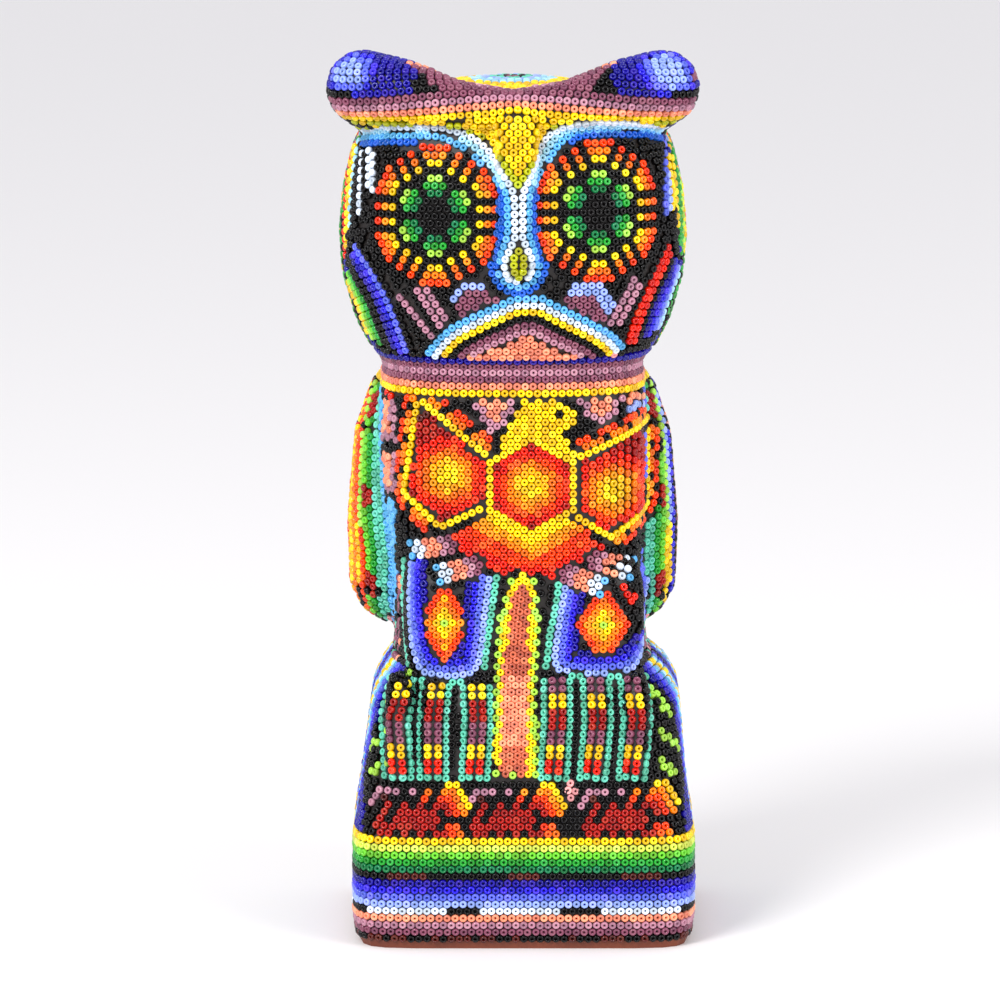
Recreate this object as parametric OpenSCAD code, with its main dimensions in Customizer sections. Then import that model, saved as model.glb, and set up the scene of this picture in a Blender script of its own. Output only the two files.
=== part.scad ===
// Beaded owl figure: carved wooden core, beeswax coat and a skin of glass seed beads.
// The beads are drawn as closed panels, one panel for each motif of the mosaic.
// Millimetres, +Z up, front faces -Y, origin in the middle of the underside.

/* [Base] */
// width of the base block
base_w = 95; // [88:1:102]
// depth of the base block
base_d = 85; // [80:1:92]
// height of the banded slab
slab_h = 30.7; // [28:0.1:33]
// height of bare wood under the lowest bead row
bare_h = 2.2; // [1.6:0.1:3]

/* [Body] */
// width of the body without the wings
body_w = 75; // [70:1:80]
// depth of the body at the belly
body_d = 68; // [64:1:74]
// width across both folded wings
wing_span = 92.4; // [88:0.2:97]
// sideways offset of the carved owl on its base
lean_x = -3; // [-4:0.5:0]

/* [Head] */
// width of the head
head_w = 96; // [90:1:100]
// depth of the head
head_d = 79; // [74:1:84]
// radius of the round ear tips
ear_r = 10.5; // [9.5:0.1:11.5]
// distance between the two ear tip centres
ear_gap = 81.6; // [76:0.2:86]
// radius of each eye rosette
eye_r = 18.6; // [16:0.2:19.2]

/* [Skin] */
// thickness of the beeswax
wax_t = 1.5; // [1:0.1:2]
// height of the beads above the beeswax
bead_t = 1.3; // [1:0.1:1.6]

/* [Hidden] */
skin = wax_t + bead_t;
bw = base_w / 2;
bd = base_d / 2;
uw = body_w / 2;
ud = body_d / 2;
ww = wing_span / 2;
hw = head_w / 2;
hd = head_d / 2;
eg = ear_gap / 2;
far = 200;
slice_n = 20;
toe_n = 10;
ball_n = 10;

// heights where one area of the figure meets the next
frieze_top = 44.5;
toe_top = 74;
belly_z = 102;
collar_lo = 150.8;
collar_hi = 157.4;
eye_z = 201.4;
eye_dx = 22.1;

// Stations: height, middle x, half width, front y, back y, squareness, share of inset taken in height
base_st = [
  [0,      0, bw - 1.9, -bd + 1.9, bd - 1.9, 9, 0],
  [7,      0, bw - 0.2, -bd + 0.2, bd - 0.2, 9, 0],
  [slab_h, 0, bw - 0.4, -bd + 0.3, bd - 0.3, 9, 0],
];
mound_st = [
  [slab_h - 1,     0,   bw - 0.7, -bd + 0.5, bd - 0.5, 8,   0],
  [frieze_top - 1, 0,   bw - 2.7, -bd + 2.7, bd - 2.7, 7,   0],
  [66,             0.6, bw - 5.0, -bd + 5.5, bd - 5.0, 4.8, 0],
  [72,             0.4, bw - 7.6, -bd + 7.5, bd - 6.6, 4,   0.5],
  [76,          -0.4,   bw - 11,  -bd + 9.6, bd - 8.4, 3.6, 0.5],
];
body_st = [
  [64,             -0.4,    uw - 1,   -ud + 0.2, ud,       3.6, 0],
  [84,  lean_x * 0.35,      uw - 2.8, -ud + 1.5, ud - 0.5, 3.3, 0],
  [belly_z, lean_x * 0.5,   uw - 2.6, -ud + 1.8, ud - 0.6, 3.2, 0],
  [120, lean_x * 0.8,       uw - 0.6, -ud + 0.2, ud - 0.5, 3.2, 0],
  [136, lean_x,             uw,       -ud + 0.3, ud - 1,   3.1, 0],
  [collar_lo, lean_x,       uw - 0.8, -ud + 2.4, ud - 2.6, 3,   0],
  [163, lean_x,             uw - 2.4, -ud + 4.4, ud - 4,   2.9, 0],
];
wing_st = [
  [82,  lean_x, ww - 9.0, 0,   20, 2.4, -0.8],
  [86,  lean_x, ww - 4.0, -8,  27, 2.4, -0.5],
  [93,  lean_x, ww - 0.6, -14, 30, 2.5, -0.1],
  [112, lean_x, ww,       -18, 31, 2.6, 0],
  [137, lean_x, ww - 2.2, -19, 30, 2.6, 0.1],
  [150, lean_x, ww - 6.6, -13, 26, 2.4, 0.6],
  [156, lean_x, ww - 11,  -8,  20, 2.4, 0.8],
];
head_st = [
  [collar_hi - 0.4, lean_x, hw - 12, -hd + 10.5, hd - 10, 2.7, -0.8],
  [162,   lean_x, hw - 8.0, -hd + 6.0, hd - 6.0, 2.7, -0.4],
  [170,   lean_x, hw - 4.3, -hd + 2.6, hd - 2.8, 2.8, -0.2],
  [182,   lean_x, hw - 0.9, -hd + 0.6, hd - 0.7, 2.8, 0],
  [193,   lean_x, hw,       -hd,       hd,       2.8, 0],
  [205,   lean_x, hw - 1.1, -hd + 0.9, hd - 0.9, 2.8, 0],
  [216,   lean_x, hw - 3.6, -hd + 3.2, hd - 3.8, 2.8, 0.2],
  [224,   lean_x, hw - 7.8, -hd + 6.8, hd - 8.2, 2.7, 0.4],
  [230,   lean_x, hw - 16,  -hd + 13,  hd - 15,  2.5, 0.8],
  [233.6, lean_x, hw - 28,  -hd + 22,  hd - 24,  2.3, 1],
  [235,   lean_x, hw - 40,  -hd + 32,  hd - 33,  2.2, 1],
];
// Brow balls from the middle outwards: x, y, z, radius
brow_st = [
  [0,  -32.0, 228.2, 6.2],
  [16, -30.2, 229.8, 7.2],
  [29, -25.8, 232.6, 9.2],
  [eg, -19.5, 244.1 - ear_r, ear_r],
];
// Nose balls from the brow down: y, z, radius
nose_st = [[-36.0, 224, 6.4], [-38.2, 206, 5.6], [-37.8, 189, 7.0]];
toe_xs = [-33.9, -24.6, -13.1, 8.8, 20.0, 30.5];
// Toe stations around x = 0
toe_st = [
  [45.5, 0, 3.2, -40.8, -28, 2.4, -0.6],
  [50,   0, 4.0, -42.2, -28, 2.6, 0],
  [70,   0, 4.0, -39.0, -26, 2.6, 0.2],
  [75,   0, 2.8, -36.2, -26, 2.4, 0.8],
];
// Leg stations around x = 0
leg_st = [
  [70,  0, 12.0, -34.6, -10, 2.8, 0],
  [97,  0, 12.0, -33.8, -10, 2.8, 0],
  [104, 0, 10.5, -31.8, -10, 2.8, 0.4],
];
leg_xs = [-21, 21];

// Motif outlines on the front, x and z
hex_pts = [[3.0, 138.5], [13.2, 132.2], [12.7, 118.7], [0.8, 114.6], [-9.2, 120.7], [-8.6, 134.6]];
left_wing_pts = [[-28.6, 149.4], [-10.3, 135.2], [-10.3, 120.7], [-23.2, 115.2], [-32.1, 123.7]];
right_wing_pts = [[14.6, 133.3], [33.2, 141.5], [32.9, 117.9], [23.5, 111.9], [13.8, 117.9]];
tail_pts = [[-21.6, 111.4], [-12, 118.4], [0.8, 119], [12.4, 116.4], [20.6, 110.8], [17, 106.6],
            [6, 99.8], [-6, 99.8], [-17, 107]];
bird_head_pts = [[-3, 137.5], [3.0, 140], [9, 138], [10.5, 141.5], [13.4, 142.6], [10, 147.5],
                 [5.5, 150.4], [0.5, 149], [-1.5, 143]];
nose_pts = [[-47, 226], [-2, 226], [42, 226], [42, 217.5], [30, 219.5], [14, 217], [3.4, 208],
            [3.0, 196], [6.2, 186], [3.4, 179.6], [-6.2, 179.6], [-9.4, 186], [-7.6, 196],
            [-8.0, 208], [-18, 217], [-34, 219.5], [-47, 217.5]];
drop_pts = [[-1.6, 194], [1.4, 187], [0.4, 183.4], [-3.6, 183.4], [-4.6, 187]];
forehead_pts = [[-20, 234], [-20, 224.5], [-9, 219], [-2, 208.5], [5, 219], [14, 224.5], [14, 234]];
mouth_pts = [[-25.4, 161.5], [-18, 168.8], [-8, 173.2], [0.4, 175.4], [9, 173.2], [19, 168.8], [26.4, 161.5]];
lips_pts = [[-20, 161.5], [-14, 166.4], [-6, 169.8], [0.4, 171], [7, 169.8], [15, 166.4], [21, 161.5]];

function sgn_pow(v, p) = (v < 0 ? -1 : 1) * pow(abs(v), p);

// one thin level slice of a block, drawn smaller by the inset
module slice(s, inset, n) {
  hx = s[2] - inset;
  hy = (s[4] - s[3]) / 2 - inset;
  translate([s[1], (s[3] + s[4]) / 2, s[0] - s[6] * inset])
    linear_extrude(0.02)
      polygon([for (i = [0:n - 1]) let (a = 360 * (i + 0.5) / n)
        [hx * sgn_pow(cos(a), 2 / s[5]), hy * sgn_pow(sin(a), 2 / s[5])]]);
}

module block(st, inset, n = slice_n)
  for (i = [0:len(st) - 2]) hull() { slice(st[i], inset, n); slice(st[i + 1], inset, n); }

module ball(x, y, z, r) translate([x, y, z]) sphere(r, $fn = ball_n);

module brow(inset)
  for (side = [-1, 1], i = [0:len(brow_st) - 2])
    hull() for (b = [brow_st[i], brow_st[i + 1]]) {
      ball(lean_x + side * b[0], b[1], b[2], b[3] - inset);
      ball(lean_x + side * b[0] * 0.9, b[1] + 11, b[2] - 4, b[3] - inset);
    }

module nose(inset)
  for (i = [0:len(nose_st) - 2])
    hull() for (b = [nose_st[i], nose_st[i + 1]]) ball(lean_x + 1, b[0], b[1], b[2] - inset);

module toes(inset) for (x = toe_xs) translate([x, 0, 0]) block(toe_st, inset, toe_n);
module legs(inset) for (x = leg_xs) translate([x, 0, 0]) block(leg_st, inset, 16);

// the whole carved figure, smaller all round by the inset
module figure(inset) {
  block(base_st, inset);
  block(mound_st, inset);
  block(body_st, inset);
  block(wing_st, inset);
  block(head_st, inset);
  brow(inset);
  nose(inset);
  toes(inset);
  legs(inset);
}

module level(lo, hi) translate([-far / 2, -far / 2, lo]) cube([far, far, hi - lo]);

module bare_foot() intersection() { figure(0.6); level(0, bare_h); }

module bead_coat() difference() { figure(0); figure(bead_t); level(-1, bare_h); }

// a prism cut into the front half of the figure, from an outline in x and z
module front(pts) translate([0, -14, 0]) rotate([90, 0, 0]) linear_extrude(60) polygon(pts);
module front_box(x0, x1, z0, z1) front([[x0, z0], [x1, z0], [x1, z1], [x0, z1]]);
module left_half() translate([-far + lean_x + 1, -far / 2, -1]) cube([far, far, 300]);
module deep_front() translate([-far / 2, -far / 2, -1]) cube([far, far / 2 - 14, 300]);

// the bead coat inside the first child, less the other children
module panel() intersection() {
  bead_coat();
  difference() { children(0); if ($children > 1) children([1:$children - 1]); }
}

module deer_zone(x0, x1) front_box(x0, x1, slab_h + 0.6, frieze_top);
module all_deer() { deer_zone(-41.8, -14.9); deer_zone(-14.9, 14.2); deer_zone(14.2, 43); }
module toe_zone(xs) intersection() {
  for (x = xs) translate([x, 0, 0]) block(toe_st, -0.3, toe_n);
  level(frieze_top, toe_top + 0.4);
}
module strip_zone() hull() {
  front_box(-8.6, 6, frieze_top + 1, 90);
  translate([-1.3, -14, 95]) rotate([90, 0, 0]) cylinder(r = 7.3, h = 60, $fn = 24);
}
module diamond(x, z, rx, rz) front([[x - rx, z], [x, z - rz], [x + rx, z], [x, z + rz]]);
module left_leg_zone() front_box(-38.5, -6, toe_top + 0.4, belly_z + 2);
module right_leg_zone() front_box(3, 36.5, toe_top + 0.4, belly_z + 2);
module both_diamonds() { diamond(-21.6, 88.6, 5.6, 10.6); diamond(21.6, 86.8, 6.9, 9.6); }
module eagle() {
  front(hex_pts); front(left_wing_pts); front(right_wing_pts); front(tail_pts); front(bird_head_pts);
}
module chest_zone() intersection() { level(belly_z - 3, collar_lo); front_box(-36.5, 32.5, 70, 160); }
module side_zone(side) intersection() {
  level(toe_top + 0.4, collar_lo);
  translate([lean_x + side * far / 2 + side * 20, 0, 0]) cube([far, 2 * 24, 400], center = true);
}
module eye_zone(side) translate([lean_x + 1 + side * eye_dx, -24, eye_z]) rotate([90, 0, 0])
  cylinder(r = eye_r, h = 40, $fn = 36);
module both_eyes() { eye_zone(-1); eye_zone(1); }
module head_zone() level(collar_hi, 260);
module ear_zone(side) translate([lean_x + side * eg, -18, 233.6]) rotate([0, side * 68, 0])
  translate([0, 0, -13]) cylinder(r1 = 9, r2 = 22, h = 30, $fn = 32);
module ears_zone() { ear_zone(-1); ear_zone(1); }
module brow_zone() intersection() {
  level(226, 260);
  translate([-far / 2, -far / 2, 0]) cube([far, 75, 300]);
}
module face_zone() intersection() { level(collar_hi, 226); deep_front(); }

module wooden_core() color("BurlyWood") { figure(skin); bare_foot(); }
module beeswax_coat() color("Peru") difference() { figure(bead_t); figure(skin); level(-1, bare_h); }

module plinth_earth_beads() color("RosyBrown") panel() level(0, 9.7);
module plinth_dash_beads() color("White") panel() level(9.7, 11.6);
module plinth_blue_beads() color("MediumBlue") panel() level(11.6, 19.3);
module plinth_green_beads() color("LimeGreen") panel() level(19.3, slab_h + 0.6);
module left_deer_beads() color("FireBrick") panel() deer_zone(-41.8, -14.9);
module middle_deer_beads() color("Red") panel() deer_zone(-14.9, 14.2);
module right_deer_beads() color("DarkRed") panel() deer_zone(14.2, 43);
module frieze_ground_beads() color("Black") panel() {
  intersection() { level(slab_h + 0.6, frieze_top); deep_front(); }
  all_deer();
}
module mound_side() intersection() {
  difference() { level(slab_h + 0.6, toe_top + 0.4); deep_front(); }
  translate([-far / 2, -far / 2, 0]) cube([far, far / 2 + 24, 200]);
}
module left_mound_beads() color("Blue") panel() intersection() { mound_side(); left_half(); }
module right_mound_beads() color("RoyalBlue") panel() { mound_side(); left_half(); }
module mound_back_beads() color("SlateBlue") panel() {
  level(slab_h + 0.6, toe_top + 0.4);
  mound_side();
  deep_front();
}
module left_toe_beads() color("Turquoise") panel() toe_zone([for (i = [0:2]) toe_xs[i]]);
module right_toe_beads() color("MediumTurquoise") panel() toe_zone([for (i = [3:5]) toe_xs[i]]);
module toe_ground_beads() color("Black") panel() {
  intersection() { level(frieze_top, toe_top + 0.4); deep_front(); }
  toe_zone(toe_xs);
  strip_zone();
}
module belly_strip_beads() color("LightSalmon") panel() { strip_zone(); toe_zone(toe_xs); }
module left_leg_beads() color("SlateBlue") panel() { left_leg_zone(); both_diamonds(); strip_zone(); }
module right_leg_beads() color("SlateBlue") panel() { right_leg_zone(); both_diamonds(); strip_zone(); }
module left_diamond_beads() color("Orange") panel() diamond(-21.6, 88.6, 5.6, 10.6);
module right_diamond_beads() color("Orange") panel() diamond(21.6, 86.8, 6.9, 9.6);
module eagle_heart_beads() color("OrangeRed") panel() front(hex_pts);
module eagle_left_wing_beads() color("Tomato") panel() front(left_wing_pts);
module eagle_right_wing_beads() color("Tomato") panel() front(right_wing_pts);
module eagle_head_beads() color("Gold") panel() { front(bird_head_pts); front(hex_pts); }
module eagle_tail_beads() color("DarkOrange") panel() { front(tail_pts); front(hex_pts); strip_zone();
  front(left_wing_pts); front(right_wing_pts); left_leg_zone(); right_leg_zone(); }
module chest_ground_beads() color("DimGray") panel() {
  chest_zone();
  eagle(); strip_zone(); left_leg_zone(); right_leg_zone();
}
module collar_beads() color("Thistle") panel() level(collar_lo, collar_hi);
module wing_panel_zone(side) difference() {
  side_zone(side); chest_zone(); left_leg_zone(); right_leg_zone();
}
module left_wing_beads() color("MediumSeaGreen") panel() wing_panel_zone(-1);
module right_wing_beads() color("SeaGreen") panel() wing_panel_zone(1);
module body_back_beads() color("MediumPurple") panel() {
  level(toe_top + 0.4, collar_lo);
  side_zone(-1); side_zone(1); chest_zone(); left_leg_zone(); right_leg_zone(); strip_zone(); eagle();
}
module mouth_beads() color("Salmon") panel() intersection() { front(lips_pts); face_zone(); }
module lip_arch_beads() color("SkyBlue") panel() {
  intersection() { front(mouth_pts); face_zone(); }
  front(lips_pts);
}
module nose_band_beads() color("DeepSkyBlue") panel() {
  intersection() { front(nose_pts); face_zone(); }
  both_eyes(); front(drop_pts); front(forehead_pts);
}
module nose_drop_beads() color("Olive") panel() intersection() { front(drop_pts); face_zone(); }
module left_eye_beads() color("ForestGreen") panel() eye_zone(-1);
module right_eye_beads() color("ForestGreen") panel() eye_zone(1);
module cheek_zone() difference() {
  face_zone(); both_eyes(); front(nose_pts); front(mouth_pts); front(forehead_pts);
}
module left_cheek_beads() color("DarkSlateGray") panel() intersection() { cheek_zone(); left_half(); }
module right_cheek_beads() color("DarkSlateGray") panel() { cheek_zone(); left_half(); }
module forehead_beads() color("Yellow") panel() {
  intersection() { front(forehead_pts); face_zone(); }
  both_eyes();
}
module brow_beads() color("PaleVioletRed") panel() { brow_zone(); ears_zone(); }
module left_ear_beads() color("DarkBlue") panel()
  intersection() { ear_zone(-1); head_zone(); level(226, 260); }
module right_ear_beads() color("DarkBlue") panel()
  intersection() { ear_zone(1); head_zone(); level(226, 260); }
module head_back_beads() color("RebeccaPurple") panel() {
  head_zone(); face_zone(); brow_zone();
  intersection() { ears_zone(); level(226, 260); }
}

wooden_core();
beeswax_coat();
plinth_earth_beads();
plinth_dash_beads();
plinth_blue_beads();
plinth_green_beads();
left_deer_beads();
middle_deer_beads();
right_deer_beads();
frieze_ground_beads();
left_mound_beads();
right_mound_beads();
mound_back_beads();
left_toe_beads();
right_toe_beads();
toe_ground_beads();
belly_strip_beads();
left_leg_beads();
right_leg_beads();
left_diamond_beads();
right_diamond_beads();
eagle_heart_beads();
eagle_left_wing_beads();
eagle_right_wing_beads();
eagle_head_beads();
eagle_tail_beads();
chest_ground_beads();
collar_beads();
left_wing_beads();
right_wing_beads();
body_back_beads();
mouth_beads();
lip_arch_beads();
nose_band_beads();
nose_drop_beads();
left_eye_beads();
right_eye_beads();
left_cheek_beads();
right_cheek_beads();
forehead_beads();
brow_beads();
left_ear_beads();
right_ear_beads();
head_back_beads();
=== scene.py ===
import colorsys
import math
import random

import bmesh
import bpy
import numpy as np
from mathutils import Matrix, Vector
from mathutils.bvhtree import BVHTree


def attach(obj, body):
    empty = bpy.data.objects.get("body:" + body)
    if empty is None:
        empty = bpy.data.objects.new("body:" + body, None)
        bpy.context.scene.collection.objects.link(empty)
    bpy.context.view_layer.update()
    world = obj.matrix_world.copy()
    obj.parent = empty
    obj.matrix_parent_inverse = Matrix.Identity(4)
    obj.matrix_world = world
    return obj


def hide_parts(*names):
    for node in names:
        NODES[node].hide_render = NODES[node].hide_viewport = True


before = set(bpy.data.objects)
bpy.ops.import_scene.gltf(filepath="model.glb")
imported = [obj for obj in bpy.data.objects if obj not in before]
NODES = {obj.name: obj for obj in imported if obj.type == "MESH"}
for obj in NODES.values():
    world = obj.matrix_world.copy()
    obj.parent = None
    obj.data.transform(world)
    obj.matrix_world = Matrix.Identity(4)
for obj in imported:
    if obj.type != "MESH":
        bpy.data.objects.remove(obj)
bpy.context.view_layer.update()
BODY = "root"  # the figure is one rigid body
random.seed(11)

# ---------------------------------------------------------------- sizes, millimetres
MM = 0.001
PITCH = 2.2  # between beads along a row
ROW = 1.93  # between rows
BEAD_R = 1.12
HOLE_R = 0.22
BEAD_H = 1.5
SUNK = 0.24  # depth of each bead in the beeswax
RISE = 0.866  # between the rows of a lattice, in bead pitches
OWL_X = -3  # the carved owl stands this far to one side of its base
EYES = ((-23.9, 200.4), (20.0, 201.5))

# ---------------------------------------------------------------- colours, sRGB 0 to 1
PAINT = {
    "black": (0.025, 0.02, 0.022),
    "brown": (0.33, 0.09, 0.06),
    "darkred": (0.66, 0.07, 0.03),
    "red": (0.92, 0.11, 0.0),
    "redorange": (1.0, 0.25, 0.0),
    "orange": (1.0, 0.50, 0.0),
    "amber": (1.0, 0.68, 0.0),
    "yellow": (1.0, 0.84, 0.0),
    "olive": (0.70, 0.72, 0.02),
    "paleyellow": (0.85, 0.93, 0.35),
    "lime": (0.66, 0.88, 0.28),
    "lightgreen": (0.42, 0.80, 0.18),
    "green": (0.12, 0.62, 0.18),
    "darkgreen": (0.02, 0.45, 0.24),
    "turquoise": (0.38, 0.80, 0.68),
    "palesky": (0.66, 0.87, 0.97),
    "sky": (0.36, 0.70, 0.94),
    "midblue": (0.08, 0.36, 0.80),
    "deepblue": (0.08, 0.03, 0.58),
    "blue": (0.15, 0.11, 0.82),
    "lavblue": (0.37, 0.42, 0.93),
    "lavender": (0.60, 0.69, 0.98),
    "white": (0.86, 0.91, 0.97),
    "mauve": (0.52, 0.28, 0.37),
    "lightmauve": (0.72, 0.50, 0.58),
    "pink": (0.92, 0.62, 0.62),
    "peach": (0.98, 0.58, 0.44),
    "salmon": (0.80, 0.40, 0.28),
}


def linear(c):
    """The linear colour that a shader takes, from an sRGB one."""
    return tuple(x / 12.92 if x <= 0.04045 else ((x + 0.055) / 1.055) ** 2.4 for x in c)


def new_material(name):
    """A material with its shader."""
    m = bpy.data.materials.new(name)
    m.use_nodes = True
    return m, m.node_tree.nodes["Principled BSDF"]


# value, saturation, turn of hue, added value and roughness of the three tones of each colour
TONES = ((0.86, 1.0, -0.006, 0, 0.20), (1.0, 1.0, 0.0, 0, 0.15), (1.0, 0.9, 0.008, 0.03, 0.24))
_glass = {}


def glass(name, tone):
    """Opaque seed-bead glass, in one of three tones of a colour."""
    key = f"bead_{name}_{tone}"
    if key not in _glass:
        value, sat, turn, lift, rough = TONES[tone]
        h, s, v = colorsys.rgb_to_hsv(*PAINT[name])
        rgb = colorsys.hsv_to_rgb((h + turn) % 1, min(1, s * sat), min(1, v * value + lift))
        dark = name == "black"
        m, p = new_material(key)
        p.inputs["Base Color"].default_value = (*linear(rgb), 1)
        p.inputs["Roughness"].default_value = rough
        p.inputs["IOR"].default_value = 1.52
        p.inputs["Specular IOR Level"].default_value = 0.22 if dark else 0.32
        p.inputs["Coat Weight"].default_value = 0.08 if dark else 0.16
        p.inputs["Coat Roughness"].default_value = 0.06
        _glass[key] = m
    return _glass[key]


# ---------------------------------------------------------------- the beeswax bed, from the CAD's own meshes
VOXEL = 0.9
SMOOTHING = 22  # passes
FIRM = 0.25  # share of the smoothing that the toes get, so that the grooves between them stay


def link(o):
    bpy.context.scene.collection.objects.link(o)
    return o


def evaluated(o):
    """The object's mesh with its modifiers applied."""
    dg = bpy.context.evaluated_depsgraph_get()
    return bpy.data.meshes.new_from_object(o.evaluated_get(dg), depsgraph=dg)


def columns_of(items, name, width, kind=float):
    """One attribute of a mesh's vertices or edges as an array with this many columns."""
    flat = np.empty(len(items) * width, dtype=kind)
    items.foreach_get(name, flat)
    return flat.reshape(-1, width)


def make_bed():
    """One smooth closed mesh of the outside of the beeswax."""
    bm = bmesh.new()
    for n in ("beeswax_coat", "wooden_core"):
        bm.from_mesh(NODES[n].data)
    me = bpy.data.meshes.new("bed")
    bm.to_mesh(me)
    bm.free()
    o = link(bpy.data.objects.new("bed_source", me))
    voxels = o.modifiers.new("voxels", "REMESH")
    voxels.mode = "VOXEL"
    voxels.voxel_size = VOXEL * MM
    me = evaluated(o)
    o.modifiers.clear()
    o.data = me
    co = columns_of(me.vertices, "co", 3) / MM
    toes = (co[:, 2] > 43) & (co[:, 2] < 78) & (co[:, 1] < -30)
    soft = o.vertex_groups.new(name="soft")
    soft.add([int(i) for i in np.nonzero(~toes)[0]], 1.0, "REPLACE")
    soft.add([int(i) for i in np.nonzero(toes)[0]], FIRM, "REPLACE")
    smooth = o.modifiers.new("smooth", "SMOOTH")
    smooth.factor = 0.5
    smooth.iterations = SMOOTHING
    smooth.vertex_group = "soft"
    me = evaluated(o)
    bpy.data.objects.remove(o)
    return me


bed_mesh = make_bed()
bed_co = columns_of(bed_mesh.vertices, "co", 3) / MM
bed_no = columns_of(bed_mesh.vertices, "normal", 3)
edges = columns_of(bed_mesh.edges, "vertices", 2, int)
for _ in range(4):  # softer normals, so that neighbouring beads lean alike
    add = bed_no.copy()
    np.add.at(add, edges[:, 0], bed_no[edges[:, 1]])
    np.add.at(add, edges[:, 1], bed_no[edges[:, 0]])
    bed_no = add / np.linalg.norm(add, axis=1)[:, None]
bed_faces = [tuple(p.vertices) for p in bed_mesh.polygons]
bed_tree = BVHTree.FromPolygons([tuple(v) for v in bed_co], bed_faces)


def surf(p):
    """Nearest point of the bed and its smooth normal."""
    loc, _, i, _ = bed_tree.find_nearest(p)
    n = np.zeros(3)
    for v in bed_faces[i]:
        d = (Vector(bed_co[v]) - loc).length
        n += bed_no[v] / (d + 0.15)
    return loc, Vector(n / np.linalg.norm(n))


def front(x, z):
    """Where a line from the front meets the bed, or None."""
    return bed_tree.ray_cast(Vector((x, -90, z)), Vector((0, 1, 0)))[0]


def from_side(turn, centre):
    """Where a level line towards a centre meets the bed, coming from this many radians round it, or None."""
    d = Vector((math.cos(turn), math.sin(turn), 0))
    return bed_tree.ray_cast(centre + d * 120, -d)[0]


class Ring:
    """The bed's outline at one height, measured along the surface from the middle of the front."""

    def __init__(self, z, steps=360):
        self.z = z
        centre = Vector((OWL_X * min(1, max(0, (z - 66) / 60)), -4 if z > 157 else 0, z))
        hits = [from_side(2 * math.pi * i / steps - math.pi / 2, centre) for i in range(steps)]
        pts = [(hit.x, hit.y) for hit in hits if hit is not None]
        self.p = np.array(pts + pts[:1])
        self.s = np.concatenate([[0], np.cumsum(np.linalg.norm(np.diff(self.p, axis=0), axis=1))])
        self.length = float(self.s[-1])

    def at(self, s):
        """The point this far along."""
        s = s % self.length
        x, y = (float(np.interp(s, self.s, self.p[:, i])) for i in (0, 1))
        return Vector((x, y, self.z))

    def s_at_x(self, x):
        """Distance to the point of the front with this x."""
        half = self.p[:, 1] < 0
        _, s = min((abs(q[0] - x) + (0 if f else 99), s) for q, f, s in zip(self.p, half, self.s))
        fine = np.arange(s - 1.5, s + 1.5, 0.05)
        return float(min(fine, key=lambda t: abs(self.at(t).x - x) + (0 if self.at(t).y < 0 else 9)))

    def s_at_y(self, y, side):
        """Distance to where one side of the outline passes this y, going back."""
        for t in np.arange(8, self.length / 2, 0.25):
            if self.at(side * t).y >= y:
                return side * t
        return side * self.length / 4


_rings = {}


def ring(z):
    """The outline at a height, worked out once."""
    k = round(z, 2)
    if k not in _rings:
        _rings[k] = Ring(k)
    return _rings[k]


# ---------------------------------------------------------------- placing beads
LOWEST = 2.7  # the wood below this is bare
CELL = 2.5  # side of the boxes that beads are looked up by
beads = []  # (point on the bed, normal, colour name)
_cells = {}


def cell(p):
    return tuple(int(math.floor(c / CELL)) for c in p)


def near(p, reach):
    """Numbers of the beads within this reach of a point."""
    i, j, k = cell(p)
    for a in (i - 1, i, i + 1):
        for b in (j - 1, j, j + 1):
            for c in (k - 1, k, k + 1):
                for n in _cells.get((a, b, c), ()):
                    if (beads[n][0] - p).length < reach:
                        yield n


def put(p, colour, gap=0.86):
    """Adds a bead where the bed is nearest to p, unless one is already too close, and gives its number."""
    loc, nor = surf(p)
    if loc.z < LOWEST or any(True for _ in near(loc, gap * PITCH)):
        return None
    beads.append((loc, nor, colour(loc, nor) if callable(colour) else colour))
    _cells.setdefault(cell(loc), []).append(len(beads) - 1)
    return len(beads) - 1


def spots(pairs, colour, gap=0.78):
    """Single beads at x and z on the front."""
    for x, z in pairs:
        p = front(x, z)
        if p is not None:
            put(p, colour, gap)


def ring_row(z, k, colour, where=None, gap=0.86):
    """A level row all round, or only where(p) says, staggered if k is odd; colour is a function."""
    r = ring(z)
    n = round(r.length / PITCH)
    step = r.length / n
    for i in range(n):
        s = (i + 0.5 * (k % 2)) * step
        if s > r.length / 2:
            s -= r.length
        if where is None or where(r.at(s)):
            put(r.at(s), (lambda loc, nor, s=s: colour(loc, nor, s)), gap)


def front_line(xz, step=0.7):
    """Surface points along a line of x and z pairs, seen from the front."""
    fine = []
    for (x0, z0), (x1, z1) in zip(xz, xz[1:]):
        m = max(2, int(math.hypot(x1 - x0, z1 - z0) / step))
        fine += [(x0 + (x1 - x0) * i / m, z0 + (z1 - z0) * i / m) for i in range(m)]
    fine.append(xz[-1])
    hits = [front(x, z) for x, z in fine]
    return [h for h in hits if h is not None]


def offset(points, dist, away):
    """A row moved over the surface square to itself: away from a point, or towards it if dist is negative."""
    sides = []
    for i, p in enumerate(points):
        t = points[min(len(points) - 1, i + 2)] - points[max(0, i - 2)]
        d = surf(p)[1].cross(t)
        if d.length > 1e-9:
            sides.append((p, d.normalized()))
    if sum(d.dot(p - away) for p, d in sides) < 0:
        dist = -dist
    out = []
    for p, d in sides:
        q = p
        for _ in range(2):
            q = surf(q + d * (dist / 2))[0]
        out.append(q)
    for _ in range(3):
        middle = [surf((a + b + c) / 3)[0] for a, b, c in zip(out, out[1:], out[2:])]
        out = [out[0]] + middle + [out[-1]]
    return out


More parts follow.
